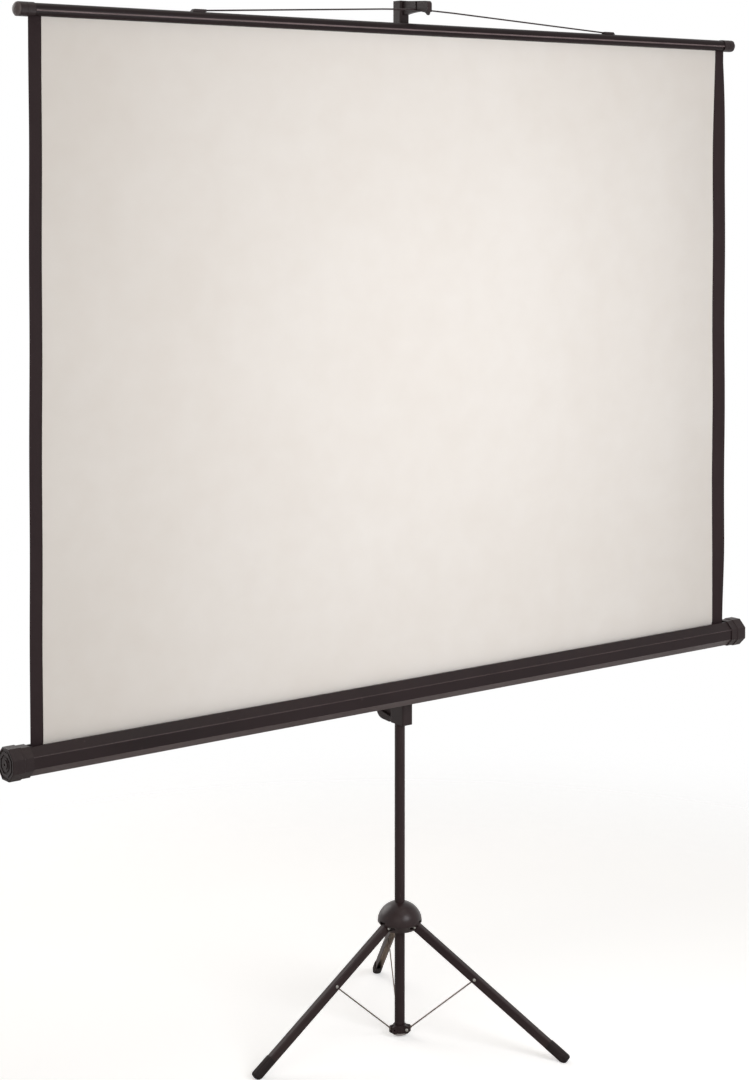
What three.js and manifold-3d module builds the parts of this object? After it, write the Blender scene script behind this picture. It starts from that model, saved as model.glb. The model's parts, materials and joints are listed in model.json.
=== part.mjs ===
import * as THREE from 'three';
import { mergeVertices } from 'three/addons/utils/BufferGeometryUtils.js';
import Module from 'manifold-3d';

// A portable projection screen on a tripod. Millimetres, +Z up, the picture faces -Y.
// The origin is on the floor under the axis of the pole.

const wasm = await Module();
wasm.setup();

// Clearances
const gap = 0.3;
const overrun = 5;
const degree = Math.PI / 180;

// Screen sheet
const viewWidth = 1744;
const borderWidth = 27;
const sheetThickness = 0.6;
const sheetForward = 60;
const curlDepth = 8;
const curlWidth = 60;
const curlFadeTop = 160;
const curlFadeBottom = 260;

// Pole
const tubeRadius = 10.75;
const tubeWall = 1.2;
const tubeTop = 1190;
const rodRadius = 8;
const rodWall = 1;
const rodBottom = 930;

// Foot of the pole
const plugRadius = 15.5;
const plugFlange = 4;
const plugLift = 3;
const plugSpigot = 22;
const bracketHeight = 16;
const bracketRadius = 14;
const bracketReach = 22.5;
const bracketLugWidth = 14;
const bracketPinRadius = 18.8;

// Legs
const legCount = 3;
const legAzimuth = 180;
const pivotRadius = 37;
const pivotHeight = 237;
const footRadius = 364;
const footAxisHeight = 5;
const channelWidth = 14.5;
const channelDepth = 17.5;
const channelWall = 1.4;
const channelHead = 7;
const stayReach = 162;
const bootLength = 44;
const bootWall = 1.8;
const bootPocket = 36;
const bootRound = 5;

// Rivets
const rivetShank = 1.5;
const rivetHead = 3.4;
const rivetHeadHeight = 1.6;

// Stays
const stayThickness = 2.4;
const stayEyeRadius = 3;
const stayWireRadius = 1.6;
const stayFlatLength = 12;
const staySlotClearance = 0.5;

// Hub
const bushWall = 2;
const sleeveWall = 3.4;
const earThickness = 2.6;
const earClearance = 0.4;
const hubBottomDrop = 9;
const hubSleeveRise = 25;
const domeRadius = 46.7;
const domeHeight = 42;
const domeWall = 2.2;
const domeRimRise = 6.5;
const skirtWaistRadius = 38;
const skirtWaistDrop = 5;
const skirtRadius = 35;
const spotFaceRadius = 5;

// Case
const caseAxisHeight = 744.5;
const caseSize = 53;
const caseFacet = 22;
const caseWall = 1;
const caseOverSheet = 37;
const caseSlot = 12;
const beadRadius = 0.9;
const capFlangeLength = 13.7;
const capFlangeInside = 12;
const capFlangeRise = 3.4;
const capSleeveLength = 30;
const capSleeveRise = 1.9;
const capRidgeDepth = 1.6;
const capGrooveShares = [0.86, 0.56];
const capGrooveWidthShare = 0.13;
const capBossRadius = 9;
const capBossReach = 1.5;
const capEyeRadius = 2.6;
const capHubRadius = 7;
const capHubLength = 12;

// Roller
const rollerRadius = 13.4;
const rollerWall = 0.9;
const rollerEndGap = 8;
const rollerPlugLength = 24;
const arborRadius = 3;
const arborLength = 330;
const springWire = 0.8;
const springTurns = 12;
const springLength = 230;
const springInset = 60;

// Slide block and its lever
const blockWidth = 26;
const blockBack = 16;
const blockDrop = 82.5;
const blockHeight = 78;
const blockRound = 4;
const blockBore = tubeRadius + gap;
const leverPivotBack = 22;
const leverPivotShare = 0.59;
const leverPinRadius = 2;
const cheekThickness = 2.6;
const cheekRadius = 7;
const leverWall = 2;
const leverReach = 68;
const leverDrop = 1;
const leverRim = 11;
const leverWeb = 3;
const shoeWidth = 12;
const shoeHeight = 16;
const swivelPlate = 2.5;
const swivelPlateSize = 34;
const swivelHeightShare = 0.6;
const casePlateLength = 92;
const casePlateShare = 0.9;
const boltRadius = 4;
const swivelDrop = 12;
const boltInBlock = 12;

// Rod collar and knob
const collarRadius = 15;
const collarSkirt = 20;
const collarRise = 20;
const collarBossRadius = 7.5;
const collarBossReach = 25;
const knobRadius = 13;
const knobWidth = 12;
const knobLobes = 5;
const knobLobeRadius = 4.2;
const knobStudRadius = 2.8;
const rodBushLength = 20;

// Top bar
const barBottom = 2088;
const barHeight = 24;
const barDepth = 28;
const barOverSheet = 2;
const barWall = 1.4;
const barStep = 1.1;
const barSlotDepth = 9;
const barCollarRise = 1.2;
const barCollarLength = 16;
const barCapLength = 14;
const barCapDome = 6.7;
const barCapSpigot = 18;

// Bail over the bar
const bailHalfSpan = 530;
const bailRise = 29;
const bailWire = 1.6;
const bailSeat = 2.4;
const clipLength = 26;
const clipWidth = 11;
const clipHeight = 5;
const clipSlope = 7;

// Hook on the rod
const hookWidth = 23;
const hookStemFront = 16;
const hookStemBack = 10.8;
const hookStemBelow = 22;
const hookTop = 50;
const hookArmWidth = 11;
const hookNose = 97;
const hookRootHeight = 20;
const hookArchHeight = 24.6;
const hookTipHeight = 16;
const hookClawWidth = 4.4;
const hookTopDrop = 5;
const hookRodDepth = 40;
const notchWidth = 4.8;
const notchFloor = bailRise - bailWire - gap;

// Derived places
const sheetY = -sheetForward;
const caseY = sheetY;
const barTop = barBottom + barHeight;
const barZ = barBottom + barHeight / 2;
const caseTop = caseAxisHeight + caseSize / 2;
const sheetHalfWidth = viewWidth / 2 + borderWidth;
const caseHalfLength = sheetHalfWidth + caseOverSheet;
const barHalfLength = sheetHalfWidth + barOverSheet;
const wrapRadius = rollerRadius + gap + sheetThickness / 2;
const wrapTurn = Math.asin(wrapRadius / (caseSize / 2));
const sheetBottom = caseAxisHeight + wrapRadius * Math.sin(wrapTurn);
const sheetLeanBack = wrapRadius * Math.cos(wrapTurn);
const caseBack = caseY + caseSize / 2;
const blockFace = caseBack + 3 * gap + 2 * swivelPlate;
const swivelHeight = caseAxisHeight - swivelDrop;
const blockBottom = caseAxisHeight - blockDrop;
const leverPivotHeight = blockBottom + blockHeight * leverPivotShare;
const leverBottom = blockBottom - leverDrop;
const tubeBottom = plugLift + plugFlange + gap;
const bracketBottom = tubeBottom;
const bracketPinHeight = bracketBottom + bracketHeight / 2;
const legRun = footRadius - pivotRadius;
const legFall = pivotHeight - footAxisHeight;
const legLean = Math.atan2(legRun, legFall);
const legLength = Math.hypot(legRun, legFall);
const stayTopRadius = pivotRadius + stayReach * Math.sin(legLean);
const stayTopHeight = pivotHeight - stayReach * Math.cos(legLean);
const stayLength = Math.hypot(stayTopRadius - bracketPinRadius, stayTopHeight - bracketPinHeight);
const stayLean = Math.atan2(stayTopRadius - bracketPinRadius, stayTopHeight - bracketPinHeight);

// Finishes
const paint = (color, roughness, metalness) => new THREE.MeshStandardMaterial({ color, roughness, metalness });
const blackSteel = () => paint(0x2b2728, 0.45, 0.1);
const blackPlastic = () => paint(0x2a2627, 0.5, 0);
const glossPlastic = () => paint(0x2d2829, 0.25, 0);
const greyPlastic = () => paint(0x7a7273, 0.4, 0);
const rubber = () => paint(0x1f1d1e, 0.85, 0);
const zincSteel = () => paint(0xb9b7b2, 0.35, 0.9);
const greyMetal = () => paint(0x8d8a88, 0.5, 0.6);
const whiteSheet = () => paint(0xe9e4df, 0.9, 0);
const blackSheet = () => paint(0x2f2a2c, 0.85, 0);

// Geometry helpers

// A closed geometry as a solid that can be joined and cut.
function toSolid(geometry) {
  const bare = geometry.clone();
  bare.deleteAttribute('normal');
  bare.deleteAttribute('uv');
  const merged = mergeVertices(bare);
  const vertProperties = new Float32Array(merged.attributes.position.array);
  const triVerts = new Uint32Array(merged.index.array);
  return new wasm.Manifold(new wasm.Mesh({ numProp: 3, vertProperties, triVerts }));
}

// A solid back as a geometry.
function toGeometry(solid) {
  const { numProp, vertProperties, triVerts } = solid.getMesh();
  const geometry = new THREE.BufferGeometry();
  const count = vertProperties.length / numProp;
  const position = new Float32Array(count * 3);
  for (let i = 0; i < count; i += 1) {
    for (let k = 0; k < 3; k += 1) position[i * 3 + k] = vertProperties[i * numProp + k];
  }
  geometry.setAttribute('position', new THREE.BufferAttribute(position, 3));
  geometry.setIndex(Array.from(triVerts));
  geometry.computeVertexNormals();
  return geometry;
}

const joined = (first, ...rest) => toGeometry(rest.reduce((all, one) => all.add(toSolid(one)), toSolid(first)));
const cut = (first, ...rest) => toGeometry(rest.reduce((all, one) => all.subtract(toSolid(one)), toSolid(first)));

// An outline from points given as [x, y] pairs.
function outline(points) {
  return new THREE.Shape(points.map(([x, y]) => new THREE.Vector2(x, y)));
}

// An outline pushed along +Z from 0.
function pushed(shape, depth, curveSegments = 12) {
  return new THREE.ExtrudeGeometry(shape, { depth, bevelEnabled: false, curveSegments });
}

// An outline drawn in the YZ plane and pushed along X, centred.
function alongX(shape, length, curveSegments = 12) {
  const geometry = pushed(shape, length, curveSegments);
  geometry.translate(0, 0, -length / 2);
  geometry.rotateX(Math.PI / 2);
  geometry.rotateZ(Math.PI / 2);
  return geometry;
}

// An outline drawn in the XZ plane and pushed along Y, centred.
function alongY(shape, length, curveSegments = 12) {
  const geometry = pushed(shape, length, curveSegments);
  geometry.translate(0, 0, -length / 2);
  geometry.rotateX(Math.PI / 2);
  return geometry;
}

// A profile of [radius, height] pairs turned about Z. The profile closes on itself or ends on the axis.
function turned(profile, segments = 24) {
  const geometry = new THREE.LatheGeometry(profile.map(([r, z]) => new THREE.Vector2(r, z)), segments);
  geometry.rotateX(Math.PI / 2);
  return geometry;
}

// A rod along Z between two heights.
function rodAlongZ(radius, low, high, segments = 20) {
  return turned([[0, low], [radius, low], [radius, high], [0, high]], segments);
}

// A pipe along Z between two heights.
function pipeAlongZ(inner, outer, low, high, segments = 28) {
  return turned([[inner, low], [outer, low], [outer, high], [inner, high], [inner, low]], segments);
}

function rodAlongX(radius, low, high, segments = 20) {
  return rodAlongZ(radius, low, high, segments).rotateY(Math.PI / 2);
}

function rodAlongY(radius, low, high, segments = 20) {
  return rodAlongZ(radius, low, high, segments).rotateX(-Math.PI / 2);
}

function block(xLow, xHigh, yLow, yHigh, zLow, zHigh) {
  const geometry = new THREE.BoxGeometry(xHigh - xLow, yHigh - yLow, zHigh - zLow);
  geometry.translate((xLow + xHigh) / 2, (yLow + yHigh) / 2, (zLow + zHigh) / 2);
  return geometry;
}

// A rectangle with round corners, centred on [x, y].
function roundedRect(width, height, radius, x = 0, y = 0) {
  const shape = new THREE.Shape();
  const left = x - width / 2;
  const low = y - height / 2;
  shape.moveTo(left + radius, low);
  shape.lineTo(left + width - radius, low);
  shape.absarc(left + width - radius, low + radius, radius, -Math.PI / 2, 0, false);
  shape.lineTo(left + width, low + height - radius);
  shape.absarc(left + width - radius, low + height - radius, radius, 0, Math.PI / 2, false);
  shape.lineTo(left + radius, low + height);
  shape.absarc(left + radius, low + height - radius, radius, Math.PI / 2, Math.PI, false);
  shape.lineTo(left, low + radius);
  shape.absarc(left + radius, low + radius, radius, Math.PI, Math.PI * 1.5, false);
  return shape;
}

const part = new THREE.Group();

function place(name, geometry, material, parent = part) {
  const mesh = new THREE.Mesh(geometry, material);
  mesh.name = name;
  parent.add(mesh);
  return mesh;
}

// Pole: an outer tube on a plug, with a thinner rod that slides in it.
function addPole() {
  const inner = tubeRadius - tubeWall;
  place('outer_tube', pipeAlongZ(inner, tubeRadius, tubeBottom, tubeTop), blackSteel());

  const plugTop = plugLift + plugFlange;
  const plugProfile = [[0, plugLift], [plugRadius - plugFlange / 4, plugLift], [plugRadius, plugLift + plugFlange / 4]];
  plugProfile.push([plugRadius, plugTop], [inner - gap, plugTop], [inner - gap, plugTop + plugSpigot]);
  plugProfile.push([0, plugTop + plugSpigot]);
  place('tube_plug', turned(plugProfile), greyPlastic());

  place('extension_rod', pipeAlongZ(rodRadius - rodWall, rodRadius, rodBottom, barTop + hookRodDepth / 2), blackSteel());
  const bushProfile = [[rodRadius + gap, rodBottom], [inner - gap, rodBottom], [inner - gap, rodBottom + rodBushLength]];
  bushProfile.push([rodRadius + gap, rodBottom + rodBushLength], [rodRadius + gap, rodBottom]);
  place('rod_bush', turned(bushProfile), blackPlastic());
}

// Collar at the top of the outer tube, with the knob that clamps the rod.
function addCollar() {
  const low = tubeTop - collarSkirt;
  const high = tubeTop + collarRise;
  const shoulder = tubeTop + gap;
  const edge = collarRadius / 10;
  const profile = [[tubeRadius + gap, low], [collarRadius, low], [collarRadius, high - edge], [collarRadius - edge, high]];
  profile.push([rodRadius + gap, high], [rodRadius + gap, shoulder], [tubeRadius + gap, shoulder], [tubeRadius + gap, low]);
  const bossZ = tubeTop + collarRise / 2;
  const boss = rodAlongY(collarBossRadius, collarRadius - edge * 4, collarBossReach, 24).translate(0, 0, bossZ);
  const hole = rodAlongY(knobStudRadius + gap, rodRadius / 2, collarBossReach + overrun, 16).translate(0, 0, bossZ);
  const bore = rodAlongZ(rodRadius + gap, shoulder, high + overrun, 32);
  place('tube_collar', cut(joined(turned(profile), boss), hole, bore), blackPlastic());

  const knobFace = collarBossReach + gap;
  const wheel = rodAlongY(knobRadius - knobLobeRadius / 2, knobFace, knobFace + knobWidth, 30);
  const lobes = [];
  for (let i = 0; i < knobLobes; i += 1) {
    const turn = (i / knobLobes) * Math.PI * 2;
    const reach = knobRadius - knobLobeRadius;
    const lobe = rodAlongY(knobLobeRadius, knobFace, knobFace + knobWidth, 14);
    lobes.push(lobe.translate(reach * Math.sin(turn), 0, reach * Math.cos(turn)));
  }
  const stud = rodAlongY(knobStudRadius, rodRadius + gap, knobFace + knobWidth / 2, 16);
  place('lock_knob', joined(wheel, ...lobes, stud).translate(0, 0, bossZ), blackPlastic());
}

// Bracket at the foot of the pole: a ring with one lug for each leg's stay.
function addStayBracket() {
  const high = bracketBottom + bracketHeight;
  let solid = toSolid(rodAlongZ(bracketRadius, bracketBottom, high, 18));
  const lugRound = bracketLugWidth / 4;
  for (let i = 0; i < legCount; i += 1) {
    const turn = (legAzimuth + (i * 360) / legCount) * degree;
    const lugShape = roundedRect(bracketReach, bracketHeight, lugRound, bracketReach / 2, (bracketBottom + high) / 2);
    const lug = alongY(lugShape, bracketLugWidth, 4);
    const hole = rodAlongY(rivetShank + gap, -bracketLugWidth, bracketLugWidth, 12);
    hole.translate(bracketPinRadius, 0, bracketPinHeight);
    const slotHalf = stayThickness / 2 + staySlotClearance;
    const slotStart = bracketPinRadius - stayEyeRadius - staySlotClearance;
    const slot = block(slotStart, bracketReach + overrun, -slotHalf, slotHalf, bracketBottom - overrun, high + overrun);
    solid = solid.add(toSolid(lug.rotateZ(turn)));
    solid = solid.subtract(toSolid(hole.rotateZ(turn))).subtract(toSolid(slot.rotateZ(turn)));
  }
  const bore = rodAlongZ(tubeRadius + gap, bracketBottom - overrun, high + overrun, 20);
  place('stay_bracket', toGeometry(solid.subtract(toSolid(bore))), blackSteel());
}

// Hub that slides on the tube: a bush in a moulded dome whose skirt has a slot and two ears for each leg.
function addHub() {
  const low = pivotHeight - hubBottomDrop;
  const high = pivotHeight + hubSleeveRise;
  const rim = pivotHeight + domeRimRise;
  const waist = pivotHeight - skirtWaistDrop;
  const throat = tubeRadius + gap;
  const bushOuter = throat + bushWall;
  const sleeveInner = bushOuter + gap;
  const sleeveOuter = sleeveInner + sleeveWall;
  const lip = bushWall;
  const bush = [[throat, low - lip], [sleeveOuter, low - lip], [sleeveOuter, low - gap], [bushOuter, low - gap]];
  bush.push([bushOuter, high - gap], [throat, high - gap], [throat, low - lip]);
  place('hub_bush', turned(bush), blackPlastic());

  const steps = 6;
  const arcOf = (radius, height, stop) => {
    const arc = [];
    for (let i = 0; i <= steps; i += 1) {
      const turn = (stop * i) / steps;
      arc.push([radius * Math.cos(turn), rim + height * Math.sin(turn)]);
    }
    return arc;
  };
  const outer = [[0, low], [skirtRadius, low], [skirtWaistRadius, waist]];
  outer.push(...arcOf(domeRadius, domeHeight, Math.acos(throat / domeRadius)));
  outer.push([0, outer[outer.length - 1][1]]);
  const innerRadius = domeRadius - domeWall;
  const hollow = [[0, low - overrun], [skirtRadius - domeWall, low - overrun], [skirtRadius - domeWall, low]];
  hollow.push([skirtWaistRadius - domeWall, waist]);
  hollow.push(...arcOf(innerRadius, domeHeight - domeWall, Math.acos(sleeveOuter / innerRadius)));
  hollow.push([0, hollow[hollow.length - 1][1]]);
  const whole = toSolid(turned(outer, 24));
  let solid = whole.subtract(toSolid(turned(hollow, 24)));
  const column = rodAlongZ(sleeveOuter, low, rim + domeHeight / 2, 24);
  solid = solid.add(toSolid(column));

  const slotHalf = channelWidth / 2 + earClearance;
  const earHalf = slotHalf + earThickness / 2;
  const swing = Math.hypot(channelHead, channelDepth / 2) + staySlotClearance;
  for (let i = 0; i < legCount; i += 1) {
    const turn = (legAzimuth + (i * 360) / legCount) * degree;
    for (const side of [-1, 1]) {
      const ear = block(0, domeRadius, side * earHalf - earThickness / 2, side * earHalf + earThickness / 2, low, rim + domeHeight / 2);
      const keptEar = toSolid(ear.rotateZ(turn)).intersect(whole);
      solid = solid.add(keptEar);
    }
  }
  for (let i = 0; i < legCount; i += 1) {
    const turn = (legAzimuth + (i * 360) / legCount) * degree;
    const slot = block(sleeveOuter + gap, domeRadius + overrun, -slotHalf, slotHalf, low - overrun, pivotHeight + swing);
    solid = solid.subtract(toSolid(slot.rotateZ(turn)));
    const hole = rodAlongY(rivetShank + gap, -domeRadius, domeRadius, 12).translate(pivotRadius, 0, pivotHeight);
    solid = solid.subtract(toSolid(hole.rotateZ(turn)));
    for (const side of [-1, 1]) {
      const from = side * (slotHalf + earThickness);
      const to = side * domeRadius;
      const face = rodAlongY(spotFaceRadius, Math.min(from, to), Math.max(from, to), 12);
      solid = solid.subtract(toSolid(face.translate(pivotRadius, 0, pivotHeight).rotateZ(turn)));
    }
  }
  const bore = rodAlongZ(throat, low - overrun, rim + domeHeight + overrun, 24);
  const bushSeat = rodAlongZ(sleeveInner, low - overrun, high, 24);
  place('hub_dome', toGeometry(solid.subtract(toSolid(bore)).subtract(toSolid(bushSeat))), glossPlastic());
}

// The channel of a leg, open towards the pole, along -Z from its pivot.
function legChannel() {
  const low = -(legLength - bootLength + bootPocket);
  const halfWidth = channelWidth / 2;
  const halfDepth = channelDepth / 2;
  const corner = channelWall * 2;
  const section = new THREE.Shape();
  section.moveTo(-halfDepth, -halfWidth);
  section.lineTo(halfDepth - corner, -halfWidth);
  section.absarc(halfDepth - corner, -halfWidth + corner, corner, -Math.PI / 2, 0, false);
  section.lineTo(halfDepth, halfWidth - corner);
  section.absarc(halfDepth - corner, halfWidth - corner, corner, 0, Math.PI / 2, false);
  section.lineTo(-halfDepth, halfWidth);
  section.lineTo(-halfDepth, halfWidth - channelWall);
  section.lineTo(halfDepth - channelWall, halfWidth - channelWall);
  section.lineTo(halfDepth - channelWall, -halfWidth + channelWall);
  section.lineTo(-halfDepth, -halfWidth + channelWall);
  const channel = pushed(section, channelHead - low, 4).translate(0, 0, low);
  const pivotHole = rodAlongY(rivetShank + gap, -channelWidth, channelWidth, 12);
  const stayHole = pivotHole.clone().translate(0, 0, -stayReach);
  return cut(channel, pivotHole, stayHole);
}

// The rubber boot on the end of a leg, cut flat where it stands.
function legBoot() {
  const end = -legLength;
  const width = channelWidth + 2 * (bootWall + gap);
  const depth = channelDepth + 2 * (bootWall + gap);
  const tip = bootRound;
  const body = new THREE.ExtrudeGeometry(roundedRect(depth - 2 * tip, width - 2 * tip, tip / 2), {
    depth: bootLength,
    bevelEnabled: true,
    bevelThickness: tip,
    bevelSize: tip,
    bevelSegments: 3,
    curveSegments: 3,
  });
  body.translate(0, 0, end);
  const pocket = block(
    -channelDepth / 2 - gap, channelDepth / 2 + gap, -channelWidth / 2 - gap, channelWidth / 2 + gap,
    end + bootLength - bootPocket - gap, end + bootLength + tip + overrun,
  );
  const mouth = block(-depth, depth, -width, width, end + bootLength, end + bootLength + tip + overrun);
  const floorCut = block(-bootLength * 2, bootLength * 2, -width, width, -bootLength * 2, 0);
  floorCut.translate(legRun, 0, -pivotHeight);
  floorCut.rotateY(legLean);
  return cut(body, pocket, mouth, floorCut);
}

// One stay: a wire with a flattened eye at each end, along +Z from its lower pin.
function stay() {
  const wire = rodAlongZ(stayWireRadius, stayFlatLength / 2, stayLength - stayFlatLength / 2, 10);
  const flats = [0, stayLength].map((at, index) => {
    const inward = index === 0 ? stayFlatLength : -stayFlatLength;
    const shape = new THREE.Shape();
    const start = index === 0 ? Math.PI : 0;
    shape.absarc(0, at, stayEyeRadius, start, start + Math.PI, false);
    shape.lineTo(index === 0 ? stayWireRadius : -stayWireRadius, at + inward);
    shape.lineTo(index === 0 ? -stayWireRadius : stayWireRadius, at + inward);
    return alongY(shape, stayThickness, 10);
  });
  const holes = [0, stayLength].map((at) => {
    const hole = rodAlongY(rivetShank + gap, -stayThickness, stayThickness, 16);
    return hole.translate(0, 0, at);
  });
  const flat = block(-stayEyeRadius, stayEyeRadius, stayThickness / 2, stayThickness, 0, stayLength);
  return cut(joined(wire, ...flats), ...holes, flat, flat.clone().translate(0, -stayThickness * 1.5, 0));
}

// A rivet along Y with a domed head on each end of its shank.
function rivet(halfLength) {
  const face = halfLength + gap;
  const crown = face + rivetHeadHeight;
  const waist = face + rivetHeadHeight / 2;
  const profile = [[0, -crown], [rivetHead / 2, -crown], [rivetHead, -waist], [rivetHead, -face], [rivetShank, -face]];
  const other = [...profile].reverse().map(([r, y]) => [r, -y]);
  return turned([...profile, ...other], 10).rotateX(-Math.PI / 2);
}

// The head of a rivet on one cheek of a lug, with a shank that stops at the slot.
function halfRivet(faceAt, shankEnd) {
  const face = faceAt + gap;
  const crown = face + rivetHeadHeight;
  const waist = face + rivetHeadHeight / 2;
  const profile = [[0, -crown], [rivetHead / 2, -crown], [rivetHead, -waist], [rivetHead, -face], [rivetShank, -face]];
  profile.push([rivetShank, -shankEnd], [0, -shankEnd]);
  return turned(profile, 10).rotateX(-Math.PI / 2);
}

function addLegs() {
  const channelGeometry = legChannel();
  const bootGeometry = legBoot();
  const stayGeometry = stay();
  const earOuter = channelWidth / 2 + earClearance + earThickness;
  const slotHalf = stayThickness / 2 + staySlotClearance;
  for (let i = 0; i < legCount; i += 1) {
    const spoke = new THREE.Group();
    spoke.rotation.z = (legAzimuth + (i * 360) / legCount) * degree;
    part.add(spoke);

    place(`hub_rivet_${i + 1}`, rivet(earOuter), zincSteel(), spoke).position.set(pivotRadius, 0, pivotHeight);

    const leg = new THREE.Group();
    leg.position.set(pivotRadius, 0, pivotHeight);
    leg.rotation.y = -legLean;
    spoke.add(leg);
    place(`leg_channel_${i + 1}`, channelGeometry, blackSteel(), leg);
    place(`leg_foot_${i + 1}`, bootGeometry, rubber(), leg);
    place(`stay_rivet_${i + 1}`, rivet(channelWidth / 2), zincSteel(), leg).position.z = -stayReach;

    const arm = new THREE.Group();
    arm.position.set(bracketPinRadius, 0, bracketPinHeight);
    arm.rotation.y = stayLean;
    spoke.add(arm);
    place(`stay_${i + 1}`, stayGeometry, zincSteel(), arm);

    const head = place(`foot_rivet_${i + 1}`, halfRivet(bracketLugWidth / 2, slotHalf), zincSteel(), spoke);
    head.position.set(bracketPinRadius, 0, bracketPinHeight);
  }
}

// Case: an eight-sided shell with a slot along its top, closed by a cap at each end.
function octagon(size, facet) {
  const half = size / 2;
  const edge = facet / 2;
  return [
    [-edge, -half], [edge, -half], [half, -edge], [half, edge],
    [edge, half], [-edge, half], [-half, edge], [-half, -edge],
  ];
}

function addCase() {
  const half = caseSize / 2;
  const lip = caseSlot / 2;
  const innerSize = caseSize - 2 * caseWall;
  const innerFacet = caseFacet - 2 * caseWall * Math.tan(Math.PI / 8);
  const outerRing = octagon(caseSize, caseFacet);
  const innerRing = octagon(innerSize, innerFacet);
  const wallPoints = [[lip, half], [outerRing[4][0], half], outerRing[3], outerRing[2], outerRing[1]];
  wallPoints.push(outerRing[0], outerRing[7], outerRing[6], [outerRing[5][0], half], [-lip, half]);
  wallPoints.push([-lip, half - caseWall], innerRing[5], innerRing[6], innerRing[7], innerRing[0]);
  wallPoints.push(innerRing[1], innerRing[2], innerRing[3], innerRing[4], [lip, half - caseWall]);
  const shell = alongX(outline(wallPoints.reverse()), 2 * caseHalfLength);
  const bead = rodAlongX(beadRadius, -caseHalfLength, caseHalfLength, 8).translate(0, -half, caseFacet / 2);
  const wholeShell = joined(shell, bead).translate(0, caseY, caseAxisHeight);
  place('case_shell', wholeShell, blackSteel());

  for (const side of [-1, 1]) {
    const name = side < 0 ? 'left' : 'right';
    place(`end_cap_${name}`, endCap(side), blackPlastic());
  }
}

// An end cap, built with its outer face towards +X, then turned over for the other side.
function endCap(side) {
  const seat = caseHalfLength + gap;
  const outerFace = seat + capFlangeLength;
  const flangeSize = caseSize + 2 * capFlangeRise;
  const sleeveSize = caseSize + 2 * capSleeveRise;
  const facetOf = (size) => caseFacet + (size - caseSize) * Math.tan(Math.PI / 8);
  const ring = (size) => outline(octagon(size, facetOf(size)));
  const bevel = capRidgeDepth;
  const flange = new THREE.ExtrudeGeometry(ring(flangeSize - 2 * bevel), {
    depth: capFlangeLength + capFlangeInside - 2 * bevel,
    bevelEnabled: true,
    bevelThickness: bevel,
    bevelSize: bevel,
    bevelSegments: 3,
  });
  flange.translate(0, 0, bevel);
  flange.rotateX(Math.PI / 2).rotateZ(Math.PI / 2).translate(seat - capFlangeInside, 0, 0);
  const sleeve = alongX(ring(sleeveSize), capSleeveLength).translate(seat - capSleeveLength / 2, 0, 0);
  const pocketLength = capSleeveLength + overrun;
  const pocket = alongX(ring(caseSize + 2 * (gap + beadRadius)), pocketLength).translate(seat - pocketLength / 2, 0, 0);
  let solid = toSolid(flange).add(toSolid(sleeve)).subtract(toSolid(pocket));
  for (const share of capGrooveShares) {
    const groove = alongX(ring(flangeSize * share), 2 * capRidgeDepth).translate(outerFace, 0, 0);
    const island = alongX(ring(flangeSize * (share - capGrooveWidthShare)), 2 * capRidgeDepth + overrun);
    solid = solid.subtract(toSolid(groove).subtract(toSolid(island.translate(outerFace, 0, 0))));
  }
  const boss = rodAlongX(capBossRadius, outerFace - capRidgeDepth, outerFace + capBossReach, 24);
  const eye = rodAlongX(capEyeRadius, outerFace - capRidgeDepth, outerFace + capBossReach + overrun, 12);
  const hub = rodAlongX(capHubRadius, seat - capHubLength, seat + capRidgeDepth, 24);
  const socket = rodAlongX(arborRadius + gap, seat - capHubLength - overrun, seat, 16);
  solid = solid.add(toSolid(boss)).subtract(toSolid(eye)).add(toSolid(hub)).subtract(toSolid(socket));
  const cap = toGeometry(solid);
  if (side < 0) cap.rotateZ(Math.PI);
  return cap.translate(0, caseY, caseAxisHeight);
}

// Roller in the case: a tube on two plugs, wound up by a spring on a fixed arbor.
function addRoller() {
  const seat = caseHalfLength + gap;
  const end = seat - capHubLength - rollerEndGap;
  const inner = rollerRadius - rollerWall;
  const lay = (geometry) => geometry.translate(0, caseY, caseAxisHeight);
  const tube = pipeAlongZ(inner, rollerRadius, -end, end, 36).rotateY(Math.PI / 2);
  place('roller_tube', lay(tube), greyMetal());

  const plugRim = rollerRadius;
  const rimWidth = rollerWall * 2;
  const fixedPlug = [[arborRadius + gap, -rimWidth], [plugRim, -rimWidth], [plugRim, -gap], [inner - gap, -gap]];
  fixedPlug.push([inner - gap, rollerPlugLength], [arborRadius + gap, rollerPlugLength], [arborRadius + gap, -rimWidth]);
  place('roller_plug_left', lay(turned(fixedPlug).rotateY(Math.PI / 2).translate(-end, 0, 0)), blackPlastic());

  const pinEnd = rollerEndGap + capHubLength - gap;
  const freePlug = [[0, -rollerPlugLength], [inner - gap, -rollerPlugLength], [inner - gap, gap], [plugRim, gap]];
  freePlug.push([plugRim, rimWidth], [arborRadius, rimWidth], [arborRadius, pinEnd], [0, pinEnd]);
  place('roller_plug_right', lay(turned(freePlug).rotateY(Math.PI / 2).translate(end, 0, 0)), blackPlastic());

  const arbor = rodAlongX(arborRadius, -seat + gap, -seat + arborLength, 16);
  place('spring_arbor', lay(arbor), zincSteel());

  const turnSteps = 8;
  const springRadius = arborRadius + gap + springWire;
  const springStart = -end + springInset;
  const points = [];
  for (let i = 0; i <= springTurns * turnSteps; i += 1) {
    const turn = (i / turnSteps) * Math.PI * 2;
    const along = springStart + (springLength * i) / (springTurns * turnSteps);
    points.push(new THREE.Vector3(along, springRadius * Math.cos(turn), springRadius * Math.sin(turn)));
  }
  place('roller_spring', lay(wireTube(points, springWire, 5)), zincSteel());
}

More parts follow.
